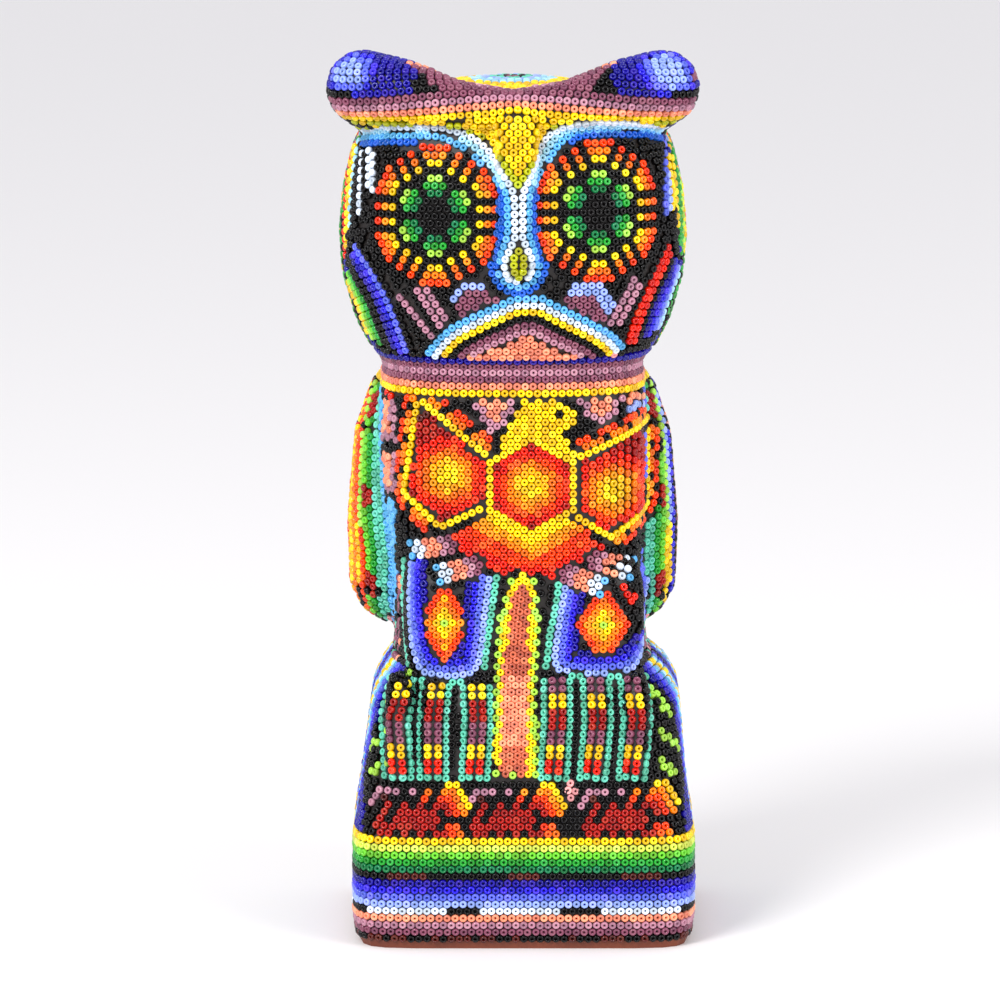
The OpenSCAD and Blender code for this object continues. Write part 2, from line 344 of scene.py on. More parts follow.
def trace(points, colour, phase=0.0, gap=0.80, pitch=PITCH, only=None):
    """Beads along a row of surface points; only(p) says where."""
    d = np.concatenate([[0], np.cumsum([(b - a).length for a, b in zip(points, points[1:])])])
    q = np.array([tuple(v) for v in points])
    s = phase
    while s <= d[-1]:
        p = Vector([float(np.interp(s, d, q[:, i])) for i in range(3)])
        if only is None or only(p):
            put(p, colour, gap)
        s += pitch


def side_by_side(row, names, step, away, phase=1.1, gap=0.78, pitch=PITCH, free=99, only=None):
    """Rows of these colours, each moved over from the last; only(p) holds for all but the free first ones."""
    for k, name in enumerate(names):
        trace(row, name, phase * (k % 2), gap, pitch, only if k >= free else None)
        row = offset(row, step, away)


def fill(where, colour):
    """Grows the beadwork from the beads already there, each new bead beside two others."""
    todo = [i for i, b in enumerate(beads) if where(b[0])]
    at = 0
    while at < len(todo):
        i = todo[at]
        at += 1
        p, n, _ = beads[i]
        for j in list(near(p, 2.05 * PITCH)):
            q = beads[j][0]
            d = (q - p).length
            side = n.cross(q - p)
            if j == i or d >= 1.94 * PITCH or side.length < 1e-6:
                continue
            side.normalize()
            h = math.sqrt(max(0.05, (0.97 * PITCH) ** 2 - d * d / 4))
            for sign in (1, -1):
                c = (p + q) / 2 + side * (h * sign)
                if not where(c):
                    continue
                m = put(c, colour, 0.865)
                if m is not None:
                    todo.append(m)


# ---------------------------------------------------------------- choosing by place
def inside(x, z, poly):
    """Signed distance to a polygon's edge, positive inside."""
    best, odd = 1e9, False
    for (x0, z0), (x1, z1) in zip(poly, poly[1:] + poly[:1]):
        wx, wz = x1 - x0, z1 - z0
        t = max(0, min(1, ((x - x0) * wx + (z - z0) * wz) / (wx ** 2 + wz ** 2)))
        best = min(best, math.hypot(x - x0 - t * wx, z - z0 - t * wz))
        if (z0 > z) != (z1 > z) and x < wx * (z - z0) / wz + x0:
            odd = not odd
    return best if odd else -best


def shade(d, steps):
    """The colour of the first step that d is under."""
    for limit, name in steps:
        if d < limit:
            return name
    return steps[-1][1]


def at_height(z, pairs):
    """What pairs of height and value, from the lowest up, give at this height."""
    return float(np.interp(z, [q[0] for q in pairs], [q[1] for q in pairs]))


# ---------------------------------------------------------------- base block rows, from the floor up
BASE = ["black", "mauve", "lightmauve", "peach", "white", "lavender", "lavblue", "blue", "deepblue",
        "dashes", "darkgreen", "green", "lightgreen", "paleyellow", "yellow"]
BASE_Z = 2.95
FRIEZE_Z = BASE_Z + len(BASE) * ROW
DASH_STEP = 32.2  # between the dashes in a row


def dash(s, shift, reach):
    """Whether this distance along a row is in one of its dashes."""
    return abs((s + shift) % DASH_STEP - DASH_STEP / 2) < reach


for k, name in enumerate(BASE):
    def base_colour(loc, nor, s, name=name, k=k):
        if name == "white":
            return "black" if dash(s, 0.3, 5.2) else name
        if name == "dashes":
            return "brown" if dash(s, DASH_STEP / 2, 5) else "black"
        if k == 0:  # some beads of the lowest row are brown
            return "brown" if random.random() < 0.35 else name
        return name
    ring_row(BASE_Z + k * ROW, k, base_colour)

# ---------------------------------------------------------------- deer frieze, one letter for each bead
DEER = ["..........yy.",
        ".mmm.m.o.ooy.",
        ".mb....O.OOoy",
        "m.r.r.r.rrOoy",
        "..r.rrrrr.rOo",
        ".r.rrrrrr....",
        ".rrrrrrrr.OO.",
        ".rr.r.r.rrOo."]
LETTERS = {".": "black", "m": "lightmauve", "b": "brown", "r": "darkred", "o": "orange", "O": "redorange",
           "y": "yellow"}
DEER_X = (-42.1, -16.1, 14.5)  # left end of each
DEER_PITCH, DEER_ROW = 2.16, 1.88
for x0 in DEER_X:
    for r, letters in enumerate(reversed(DEER)):
        for c, letter in enumerate(letters):
            x = x0 + DEER_PITCH * (c + 0.5 * ((r + 1) % 2))
            spots([(x, FRIEZE_Z + r * DEER_ROW)], LETTERS[letter], 0.80)
spots([(12.6, 45.6), (14.6, 45.4), (12.0, 43.7), (14.0, 43.4), (12.8, 41.6)], "pink", 0.5)
spots([(-12.1, 46.2), (-7.6, 48.2), (-7.6, 46.2), (-3.1, 47.7), (-3.9, 45.8)], "lime", 0.6)

# ---------------------------------------------------------------- toes: four columns each
TOE_Z = 47.6  # tips of the toes
TOE_COLUMNS = (-1.12, 1.12)  # from the middle of a toe
TOE_OUTLINE = (-3.25, 3.25)
# height and middle of each toe, from the floor up
TOES = (((48, -34.2), (63, -35.2), (71.8, -33.0)),
        ((48, -24.7), (63, -24.7), (71.6, -23.8)),
        ((48, -13.5), (63, -12.5), (71.4, -12.9)),
        ((48, 8.0), (63, 9.1), (73.0, 9.0)),
        ((48, 18.5), (63, 20.1), (73.0, 19.5)),
        ((48, 29.1), (63, 30.8), (73.0, 29.6)))
# bands of the left and the right foot, from the top down
BANDS_L = ["yellow"] * 2 + ["darkred"] * 3 + ["mauve"] * 3 + ["yellow"] * 2 + ["red"] * 2
BANDS_R = ["mauve"] * 2 + ["yellow"] * 2 + ["darkred"] * 3 + ["mauve"] * 2 + ["yellow"] * 2 + ["red"] * 2
for t, line in enumerate(TOES):
    bands = BANDS_L if t < 3 else BANDS_R
    top = line[-1][0]
    step = (top - TOE_Z) / len(bands)
    for j, name in enumerate(bands + ["turquoise"]):
        z = top - j * step
        mid = at_height(z, line)
        spots([(mid + off, z) for off in TOE_COLUMNS], name, 0.72)
        spots([(mid + off, z - 0.5) for off in TOE_OUTLINE], "turquoise", 0.72)
for t in (0, 1, 3, 4):  # the outline arches over the dark gap between two toes
    (z, x0), x1 = TOES[t][-1], TOES[t + 1][-1][1]
    mid = (x0 + x1) / 2
    spots([(mid - 1.1, z + 1.0), (mid + 1.1, z + 1.0)], "turquoise", 0.6)

# ---------------------------------------------------------------- belly strip, with a toothed edge
STRIP_HALF = ((48, 6.4), (76, 5.5), (89, 5.3), (97, 4.3), (100, 3.2), (102, 1.4))
STRIP_MID = ((50, -2.9), (75, -2.2), (89, -1.35), (97, -0.6), (101, -0.3))
STRIP_PITCH, STRIP_ROW, STRIP_ROWS = 2.06, 1.68, 33
for j in range(STRIP_ROWS):
    z = 48.0 + j * STRIP_ROW
    for c in range(-4, 5):
        off = STRIP_PITCH * (c + 0.5 * (j % 2))
        inner = at_height(z, STRIP_HALF) - abs(off)
        if inner > -0.3:
            name = shade(inner, [(0.9, "lime"), (2.3, "yellow"), (99, "peach" if 55 < z < 74 else "salmon")])
            spots([(at_height(z, STRIP_MID) + off, z)], name, 0.72)

# ---------------------------------------------------------------- claws: bars of three short rows
BARS = (((-18.9, 110.4), (-30.9, 107.6)), ((-12.0, 104.7), (-25.0, 101.1)),
        ((17.9, 105.9), (29.6, 102.2)), ((10.4, 102.5), (22.9, 97.8)))
BAR_COLOURS = ("mauve", "lightmauve", "peach", "peach", "white", "white", "sky")
BAR_PITCH, BAR_ROW, BAR_BEADS = 2.12, 1.88, 6
for (x0, z0), (x1, z1) in BARS:
    length = math.hypot(x1 - x0, z1 - z0)
    ux, uz = (x1 - x0) / length, (z1 - z0) / length
    for lane in (0, -1, 1):
        for i in range(BAR_BEADS):
            t = BAR_PITCH * i + (BAR_PITCH / 2 if lane else 0)
            x, z = x0 + ux * t - uz * lane * BAR_ROW, z0 + uz * t + ux * lane * BAR_ROW
            spots([(x, z)], BAR_COLOURS[i + (1 if lane and i > 4 else 0)], 0.74)
spots([(26.0, 100.3), (26.9, 98.4), (27.9, 96.4), (28.8, 94.6), (27.9, 99.0), (28.8, 97.2), (29.7, 95.6)],
      "red", 0.74)

# ---------------------------------------------------------------- legs
DIAMOND = [(0.08, "lime"), (0.44, "yellow"), (0.58, "amber"), (0.78, "orange"), (2, "redorange")]


def leg(middle, wide, high, lowest, sides, loop):
    """A diamond of level rows, turquoise rows beside the leg and U-shaped blue rows between."""
    cx, cz = middle
    for r in range(lowest, high + 1):
        row = ring(cz + 1.66 * r)
        mid = row.s_at_x(cx)
        for c in range(-3, 4):
            u = c + 0.5 * (r % 2)
            d = abs(u) / wide + abs(r) / high
            if d <= 1.01:
                put(row.at(mid + 2.14 * u), shade(d, DIAMOND), 0.72)
    for line in sides:
        trace(front_line(line), "turquoise", pitch=2.05, gap=0.78)
    side_by_side(front_line(loop), ("lavender", "lavblue", "blue", "deepblue"), -1.8, Vector((cx, -34, cz)),
                 phase=1.0, pitch=2.08)


leg((-21.6, 88.9), 2.85, 7, -7,
    [[(-32.2, 104), (-32.4, 96), (-32.2, 90), (-31.6, 82), (-30.8, 76)],
     [(-7.5, 101), (-9.2, 89), (-11.0, 75)]],
    [(-30.2, 103.5), (-30.6, 96), (-30.5, 90), (-29.8, 82), (-28.6, 77.2), (-26.4, 74.9), (-20, 74.3),
     (-14.4, 74.9), (-12.6, 77.2), (-11.4, 84), (-10.9, 90), (-9.4, 101)])
leg((21.6, 88.3), 3.0, 6, -4,
    [[(9.6, 101), (8.9, 95.5), (8.1, 90.5), (7.0, 85), (6.4, 79), (5.6, 75)]],
    [(11.4, 100), (10.2, 92), (9.0, 84), (8.4, 78.5), (9.2, 75.8), (14, 75.0), (20, 75.0), (26, 75.2),
     (29.6, 76.4), (31.2, 80), (32.4, 90), (33.4, 97)])

# ---------------------------------------------------------------- collar and chin rows
COLLAR = ("yellow", "peach", "mauve", "lightmauve", "mauve", "deepblue")
COLLAR_Z, COLLAR_ROW = 151.4, 1.86
for k, name in enumerate(COLLAR):
    ring_row(COLLAR_Z + k * COLLAR_ROW, k, lambda loc, nor, s, name=name: name, gap=0.78)

# ---------------------------------------------------------------- chest: an eagle in a lattice of beads
COL = 1.87  # between the lattice's columns
LATTICE = COL / RISE  # between beads in a column
HEX_MID, MID_L, MID_R = (2.0, 126.4), (-20.6, 129.2), (24.0, 124.4)
HEX = [(2.0, 139.4), (13.3, 132.9), (13.3, 119.9), (2.0, 113.4), (-9.3, 119.9), (-9.3, 132.9)]
WING_L = [(-28.6, 149.8), (-9.3, 134.2), (-9.3, 121.4), (-22.6, 115.0), (-32.3, 123.7)]
WING_R = [(13.3, 133.6), (33.4, 141.6), (33.2, 118.0), (23.6, 111.6), (13.3, 118.6)]
TAIL = [(-22.4, 111.8), (-9.3, 118.4), (13, 118), (21.8, 107.8), (8.5, 101.4), (-10.4, 103.4)]
EAGLE = [(-7.6, 134.7), (-5.2, 141.2), (-3.4, 144.1), (-1.6, 147.6), (1.2, 150.6), (7.8, 150.6),
         (10.6, 148.6), (13.6, 145.8), (14.0, 142.0), (12.0, 141.4), (10.6, 143.9), (9.6, 143.4),
         (9.4, 141.2), (11.7, 139.7), (14.4, 133.8), (2.0, 138.4)]
EAGLE_EYE = (9.2, 145.9)
TRIANGLES = ([(-15.0, 151.8), (-1.0, 151.8), (-8.2, 140.8)], [(13.6, 151.8), (27.0, 151.8), (21.2, 141.0)])
HEAT = [(3.6, "yellow"), (4.9, "amber"), (6.6, "orange"), (8.5, "redorange"), (10.6, "red"),
        (15.8, "darkred"), (99, "brown")]
TAIL_HEAT = [(3.6, "yellow"), (4.9, "amber"), (7.0, "orange"), (9.4, "redorange"), (99, "red")]


def chest_colour(loc, nor=None):
    x, z = loc.x, loc.z
    for poly, (cx, cz) in ((HEX, HEX_MID), (WING_L, MID_L), (WING_R, MID_R)):
        d = inside(x, z, poly)
        if d > -1.05:
            return "yellow" if d < 1.0 else shade(math.hypot(x - cx, z - cz), HEAT)
    if math.hypot(x - EAGLE_EYE[0], z - EAGLE_EYE[1]) < 1.1:
        return "black"
    if inside(x, z, EAGLE) > -0.2:
        return "yellow"
    if inside(x, z, TAIL) > -0.3:
        return shade(-inside(x, z, HEX), TAIL_HEAT)
    for poly in TRIANGLES:
        d = inside(x, z, poly)
        if d > -0.8:
            return "lightmauve" if d < 1.2 else "peach"
    if 28.0 < x < 35 and z > 145.6:
        return "lavender" if z < 147.6 else "peach"
    if x < -34.2:  # marks in front of the left wing
        if z > 148.4:
            return "red" if (x + z) % 4 < 2 else "black"
        if 104 < z < 121 and x > -36.4:
            return "sky"
        for lo, hi in ((137.0, 148), (122.5, 134.5), (105, 118)):
            if lo < z < hi:
                return "lightmauve" if x > -35.8 or z - lo < 2 else "peach"
    if x > 33.4 and 100 < z < 134:  # and of the right one
        d = (x - 33.4) + max(0, (z - 112) * 0.25)
        return shade(d, [(1.2, "mauve"), (2.6, "lightmauve"), (99, "peach")])
    return "black"


def on_chest(p):
    return 101 < p.z < 151.0 and p.y < -14 and -41 < p.x < 37.5


def middle_hexagon():
    """The eagle's heart, ring by ring from its middle bead."""
    cx, cz = HEX_MID
    for r in range(7):
        for corner in range(6):
            a, b = math.radians(90 + 60 * corner), math.radians(150 + 60 * corner)
            for i in range(max(1, r)):
                u = i / max(1, r)
                x = cx + LATTICE * r * ((1 - u) * math.cos(a) + u * math.cos(b))
                z = cz + LATTICE * r * ((1 - u) * math.sin(a) + u * math.sin(b))
                name = "yellow" if r == 6 else shade(math.hypot(x - cx, z - cz), HEAT)
                put(front(x, z), name, 0.8)


def feathers(corners, away):
    """Two rows of stepped feather blocks outside the line through these corners."""
    outer = front_line(corners)
    for k, name in enumerate(("orange", "redorange")):
        outer = offset(outer, 1.9, away)
        steps = iter(range(999))
        trace(outer, lambda p, nor: "black" if (next(steps) + k) % 4 == 3 else name, phase=1.1 * k,
              only=lambda p: p.z < 151 and -37 < p.x < 36.5 and inside(p.x, p.z, EAGLE) < -1.6)


def eagle_wing(poly, mid, outside):
    """One wing: its outline, the feather blocks along some of its corners and its glowing middle."""
    cx, cz = mid
    trace(front_line(poly + poly[:1]), "yellow", gap=0.84)
    feathers([poly[i] for i in outside], Vector((cx, -36, cz)))
    for i in range(-8, 9):
        for j in range(-12, 13):
            x, z = cx + COL * i, cz + LATTICE * (j + 0.5 * (i % 2))
            if inside(x, z, poly) > 1.35:
                put(front(x, z), shade(math.hypot(x - cx, z - cz), HEAT), 0.8)


middle_hexagon()
eagle_wing(WING_L, MID_L, (1, 0, 4, 3))
eagle_wing(WING_R, MID_R, (0, 1, 2, 3))
for i in range(-20, 20):  # the same lattice runs on round the hexagon
    for j in range(-14, 14):
        x, z = HEX_MID[0] + COL * i, HEX_MID[1] + LATTICE * (j + 0.5 * (i % 2))
        p = front(x, z) if 101.5 < z < 150.4 else None
        if p is not None and -33 < x < 33 and max(inside(x, z, WING_L), inside(x, z, WING_R)) < -0.8:
            put(p, chest_colour, 0.84)
fill(on_chest, chest_colour)

# ---------------------------------------------------------------- folded wings, in columns
WING_EDGE = [(82, 0), (86, -7), (93, -12.5), (104, -15.5), (112, -16.6), (137, -17.5), (150, -12), (156, -6)]
# colours of the columns from the front edge back
WING_LEFT = ("sky", "sky", "sky", "turquoise", "turquoise", "green", "lightgreen", "lime", "redorange",
             "orange", "yellow", "amber", "red", "pink", "black", "lavblue", "blue", "black", "turquoise",
             "green", "yellow", "orange", "red", "black")
WING_RIGHT = ("lavblue", "lavblue", "lavblue", "turquoise", "turquoise", "green", "lightgreen", "lime",
              "lavender", "blue", "black", "mauve", "pink", "yellow", "orange", "red", "black", "turquoise",
              "green", "yellow", "orange", "red", "black", "black")


def wing_colour(c, z, side):
    if c in (5, 6) and (z - 92) % 24.5 < 6.5:  # short dark dashes break the green columns
        return "darkred"
    if c in (7, 8) and z < 112:
        return "yellow" if side > 0 or c == 8 else "redorange"
    return (WING_LEFT if side < 0 else WING_RIGHT)[c]


WING_Z, WING_ROWS = 84.5, 61
for side in (-1, 1):
    for j in range(WING_ROWS):  # even columns have beads in even rows, odd columns in odd ones
        z = WING_Z + (j // 2) * PITCH + (j % 2) * PITCH / 2
        r = ring(z)
        s0 = r.s_at_y(at_height(z, WING_EDGE) + 1.0, side)
        for c in range(j % 2, len(WING_LEFT), 2):
            p = r.at(s0 + side * (c * ROW + 0.6))
            if p.y > 25:
                break
            put(p, wing_colour(c, z, side), 0.82)

# ---------------------------------------------------------------- eyes: a hexagonal lattice round one bead
EYE_ROW = 1.99
EYE_REACH = 8.05  # from the middle to the rim, in bead pitches
FLAME = ("yellow", "orange", "redorange")  # from the inside out


def polar(x, y, degrees):
    """How far a point lies along a direction, and how far to either side of it."""
    a = math.radians(degrees)
    return x * math.cos(a) + y * math.sin(a), abs(y * math.cos(a) - x * math.sin(a))


def eye_colour(x, y):
    """Colour of the lattice bead at this place, in bead pitches."""
    for k in range(6):
        along, across = polar(x, y, 30 + 60 * k)
        if math.hypot(along - 3.464, across) < 1.1:  # a petal: one bead and its six neighbours
            return "darkgreen" if along < 2.96 else "lime" if along > 3.96 else "green"
        step = round((along - 6.06) / RISE)
        if 0 <= step <= 2 and across < 0.6 + 0.5 * step:  # a wide wedge beyond it
            return FLAME[step]
        along, across = polar(x, y, 60 * k)
        if abs(across - RISE) < 0.2 and 5.2 < along < 7.8:  # two thin rays between the wedges
            return FLAME[min(2, int(round(along - 5.5)))]
    return "black"


eye_spots = []
for ex, ez in EYES:
    for row in range(-9, 10):
        r = ring(ez + row * EYE_ROW)
        middle = r.s_at_x(ex)
        for i in range(-9, 10):
            x, y = i + 0.5 * (row % 2), row * RISE
            if math.hypot(x, y) < EYE_REACH:
                eye_spots.append((r.at(middle + x * PITCH), eye_colour(x, y), math.hypot(x, y)))
for p, name, _ in sorted(eye_spots, key=lambda e: e[2]):
    put(p, name, 0.74)

# ---------------------------------------------------------------- brow rows, up and back from the peach one
BROW_LINE = [(-52, 227.6), (-45, 227.5), (-36, 228.0), (-25, 228.9), (-14, 229.8), (-3, 230.4), (8, 229.8),
             (19, 228.9), (30, 228.0), (39, 227.5), (46, 227.6)]
BROW_ROWS = 9
EAR_TIP = (40.8, -19.5, 233.6)  # on the right, from the owl's middle
EAR = [(5.4, "lavender"), (7.2, "lavblue"), (8.6, "blue"), (40, "deepblue")]


def ear_colour(p):
    """Deep blue knob with a pale patch, dark towards the brow."""
    side = -1 if p.x < OWL_X else 1
    rel = p - Vector((OWL_X + side * EAR_TIP[0], *EAR_TIP[1:]))
    u = abs(p.x - OWL_X)
    if side > 0 and rel.x > 7 and rel.z > 1.5 and rel.y > -6:
        return "mauve"
    if u < 27.5 + 0.25 * (233 - p.z) or rel.z < -1.6 - 0.18 * (40 - u) and rel.y < 4:
        return "black"
    return shade((rel - Vector((side * 3.0 - 1.5, -8.4, 6.2))).length, EAR)


def brow_colour(k):
    """Colours of one brow row: bands in the middle, the ears at its ends."""
    def pick(p, nor):
        u = abs(p.x - OWL_X)
        if k < 3:
            return ("peach", "lightmauve", "mauve")[k]
        if u < 15 - k:
            return ("mauve", "lightmauve", "pink", "yellow", "yellow", "yellow")[k - 3]
        if u < 22 + (k - 3) * 1.2 and k > 3:
            return "mauve" if k < 8 else "peach"
        return "mauve" if u < 21 else ear_colour(p)
    return pick


brow = [front_line(BROW_LINE)]
for k in range(BROW_ROWS - 1):
    brow.append(offset(brow[-1], 1.9, Vector((OWL_X, -30, 150))))
below = offset(brow[0], 1.9, Vector((OWL_X, -30, 300)))
for k, row in enumerate(brow):
    trace(row, brow_colour(k), phase=1.1 * (k % 2), gap=0.78)
    if k == 0:
        trace(below, "yellow", phase=1.1, gap=0.78)

# ---------------------------------------------------------------- bands round the eyes, joined down the nose
BAND_L = [(-47.5, 220.8), (-42, 222.2), (-36, 223.4), (-27, 224.3), (-22, 224.1), (-18.1, 223.0),
          (-15, 221.8), (-12.1, 219.9), (-9.4, 217.4), (-7.0, 214.6), (-4.9, 211.6), (-3.2, 208.6),
          (-2.6, 206), (-2.5, 200), (-2.5, 195.5), (-3.4, 192.8), (-4.7, 189.8), (-5.0, 187), (-4.0, 184.4),
          (-1.5, 183.2)]
BAND_R = [(45, 221.0), (40, 222.6), (32.7, 224.4), (26, 225.4), (20, 225.8), (13.6, 225.2), (10, 224.2),
          (7.3, 222.6), (4.9, 219.6), (3.0, 216), (1.4, 212), (-0.1, 208.6), (-0.6, 206), (-0.6, 200),
          (-0.6, 195.5), (0.3, 192.8), (1.6, 189.8), (1.9, 187), (0.9, 184.4), (-0.9, 183.3)]
NOSE_Z = 209  # the rows narrow to a column below this
DROP_X, DROP_Z = -1.55, 187.5  # middle of the drop's round end
WIDE = ("white", "palesky", "sky", "midblue")  # from the inside out, over the eyes
NARROW = ("white", "sky", "midblue", "midblue")  # and down the nose
OLIVE_DROP = [(-1.5, 191.8), (-2.6, 190.0), (-0.4, 190.0), (-2.7, 188.2), (-0.4, 188.2), (-2.5, 186.4),
              (-0.5, 186.4), (-1.5, 184.9)]
FIELD = [(-46, 229.6), (-46, 222.8), (-41, 224.0), (-36, 225.2), (-27, 226.0), (-18, 224.7), (-12.1, 221.5),
         (-7.0, 216.2), (-1.8, 208.6), (3.6, 217.2), (7.3, 224.2), (13.6, 226.8), (20, 227.4), (32, 226.4),
         (40, 224.3), (43, 223.0), (43, 229.6)]
spots(OLIVE_DROP, "olive", 0.6)
bands = []
for right, (line, (ex, ez)) in enumerate(zip((BAND_L, BAND_R), EYES)):
    row = front_line(line)
    for k in range(4):
        bands.append((k, right, row))
        row = offset(row, -1.84, Vector((ex, -38, ez)))
for k, right, row in sorted(bands, key=lambda b: b[:2]):
    trace(row, lambda p, nor: (NARROW if p.z < NOSE_Z else WIDE)[k], phase=1.05 * ((k + right) % 2),
          gap=0.76, pitch=2.1, only=(lambda p: p.z > DROP_Z) if k else None)
for name, wide, deep in (("sky", 5.35, 5.9), ("midblue", 7.25, 7.6)):  # and the rows close under the drop
    steps = round(math.pi * (wide + deep) / 2 / PITCH)
    for j in range(steps + 1):
        a = math.pi * j / steps
        spots([(DROP_X + wide * math.cos(a), DROP_Z - deep * math.sin(a))], name, 0.72)
FIELD_PITCH, FIELD_ROW = 2.14, 1.70
for j in range(12):  # the yellow field over the eyes and its point, in level staggered rows
    z = 209.6 + FIELD_ROW * j
    for c in range(-21, 21):
        x = -1.7 + FIELD_PITCH * (c + 0.5 * (j % 2))
        d = inside(x, z, FIELD)
        if d > -1.0:
            spots([(x, z)], "olive" if d < 1.1 and z < 227.5 else "yellow", 0.70)

# ---------------------------------------------------------------- mouth
ARCH = [(-26.4, 161.6), (-24.6, 164.4), (-22.3, 167.4), (-19.3, 170.2), (-15.8, 172.0), (-12.2, 173.9),
        (-8.3, 175.6), (-5, 177.2), (-2.5, 178.3), (5, 178.3), (8, 176.6), (12, 174.4), (17.7, 171.4),
        (21, 169.5), (24.2, 167), (26.6, 163.6)]
LENS = [(-25, 160), (-19, 165.4), (-7, 170.4), (0.8, 172.2), (9, 170.4), (20, 165.4), (26.5, 160)]
row = front_line(ARCH)
for k, name in enumerate(("sky", "white", "yellow", "black", "mauve", "lightmauve")):
    trace([p for p in row if p.z > 161], name, phase=1.1 * (k % 2), gap=0.78)
    row = offset(row, 1.86, Vector((0.5, -38, 240)))
LENS_PITCH, LENS_ROW = 2.14, 1.74
for j in range(7):
    for c in range(-11, 12):
        x, z = 0.6 + LENS_PITCH * (c + 0.5 * (j % 2)), 161.9 + LENS_ROW * j
        d = inside(x, z, LENS)
        if d > 0:
            spots([(x, z)], "peach" if d > 1.4 else "pink", 0.78 if j else 0.6)

# ---------------------------------------------------------------- marks on the cheeks
# rows of single beads, the left cheek and then the right: height, then the places along x
CHEEKS = (
    ("lavender", ((181.7, (-16.0, -13.8)), (181.6, (-11.6,)), (180.0, (-17.6,)), (178.2, (-18.8,)))),
    ("mauve", ((179.8, (-15.0, -12.8, -10.6)), (177.9, (-16.4, -14.2, -12.0, -9.8, -7.6)),
               (176.0, (-17.5, -15.3, -13.1, -10.9)), (174.1, (-16.5, -14.3)))),
    ("lavender", ((181.7, (13.7, 15.9, 18.1, 20.3)), (179.9, (12.6, 14.8, 17.0, 19.2, 21.4)),
                  (178.1, (20.3, 22.5)), (176.3, (21.4, 23.6)), (174.5, (22.4,)))),
    ("mauve", ((178.1, (11.5, 13.7, 15.9, 18.1)), (176.3, (10.4, 12.6, 14.8, 17.0, 19.2)),
               (174.5, (13.6, 15.8, 18.0, 20.2)), (172.7, (16.9, 19.1, 21.3)))),
)
for name, rows in CHEEKS:
    for z, xs in rows:
        spots([(x, z) for x in xs], name)
for line, phase in (([(-28.6, 180.2), (-22.6, 170.6)], 0), ([(-26.6, 181.2), (-20.6, 171.8)], 1.1),
                    ([(-33.2, 178.0), (-24.6, 167.4)], 0), ([(29.4, 182.8), (22.8, 170.6)], 0),
                    ([(31.3, 181.8), (24.8, 169.6)], 1.1)):
    trace(front_line(line), "lightmauve", phase)

# ---------------------------------------------------------------- sides of the face
LEFT_SWEEP = [(-45.2, 190.5), (-41.5, 185.5), (-37.8, 179), (-35.2, 173), (-33.0, 167), (-31.6, 162.4)]
RIGHT_SWEEP = [(38.6, 190.5), (36.6, 186.8), (33.6, 180.4), (31.0, 174.7), (29.2, 170.2), (28.0, 164.4)]
LEFT_ROWS = ("lavblue", "blue", "deepblue", "black", "black", "green", "lightgreen", "lime", "yellow",
             "yellow")
RIGHT_ROWS = ("red", "red", "black", "deepblue", "blue", "lavblue", "lavender", "palesky", "black", "green")
side_by_side(front_line(LEFT_SWEEP), LEFT_ROWS, 1.9, Vector((0, -38, 176)), free=5,
             only=lambda p: 163 < p.z < 187)
side_by_side(front_line(RIGHT_SWEEP), RIGHT_ROWS, 1.9, Vector((0, -38, 178)), free=2,
             only=lambda p: p.z < 188)


COLUMN_PITCH, COLUMN_ROW, COLUMN_BEADS = 2.17, 1.92, 14


def face_columns(x, side, columns):
    """Upright rows going back from this x: for each its lowest height, its end and its colour."""
    for c, (low, high, name) in enumerate(columns):
        for j in range(COLUMN_BEADS):
            z = low + j * COLUMN_PITCH + (1.08 if c % 2 else 0)
            if z < high:
                r = ring(z)
                put(r.at(r.s_at_x(x) + side * c * COLUMN_ROW), name, 0.78)


face_columns(-40.4, -1, ((206.5, 219, "white"), (206.5, 219, "white"), (200, 219, "black"),
                         (199, 219, "white"), (190, 219, "black"), (190, 219, "black"),
                         (196, 220, "palesky"), (194, 220, "yellow"), (190, 220, "yellow"),
                         (186, 220, "red")))
face_columns(37.8, 1, ((200, 219, "lavblue"), (200, 219, "lavender"), (201, 219, "yellow"),
                       (201, 217, "yellow"), (196, 214, "yellow"), (190, 216, "green"),
                       (188, 218, "green"), (188, 219, "lime"), (188, 219, "yellow")))

# ---------------------------------------------------------------- colours of everything else, by place
FOREHEAD = [(-24, 226), (-14, 221.5), (-7.4, 215), (-2.2, 207.6), (3.4, 215), (10, 221.5), (20, 226),
            (20, 231), (-24, 231)]
MOUTH = [(-26, 158.6), (-20, 166), (-7, 172), (0.8, 173.6), (9, 172), (20, 166), (27, 158.6)]
MOUND_STRIPES = ("yellow", "palesky", "sky", "lavblue", "blue", "deepblue", "black")
STRIPES = [(4, "deepblue"), (8, "blue"), (10, "lavblue"), (12, "lavender"), (14, "black"), (18, "red"),
           (20, "orange"), (22, "yellow"), (24, "lightgreen"), (28, "green"), (30, "black")]
FLOWERS = ((124, 17), (192, 22), (53, 15))  # height and radius of the three on the back
PETAL = [(0.34, "darkgreen"), (0.48, "green"), (1, "lime")]  # by share of the radius
RIM = [(0.82, "yellow"), (0.91, "orange"), (1.1, "redorange")]
CROWN = [(2, "mauve"), (4, "black"), (6.5, "turquoise"), (8, "lavender"), (12, "palesky"), (23, "yellow"),
         (25, "amber"), (27.5, "peach"), (30, "lightmauve"), (32, "mauve"), (99, "black")]
UPRIGHT = [(2, "black"), (5, "green"), (8, "yellow"), (11, "red"), (14, "deepblue")]  # on the head's sides
NECK_Z = 150.6


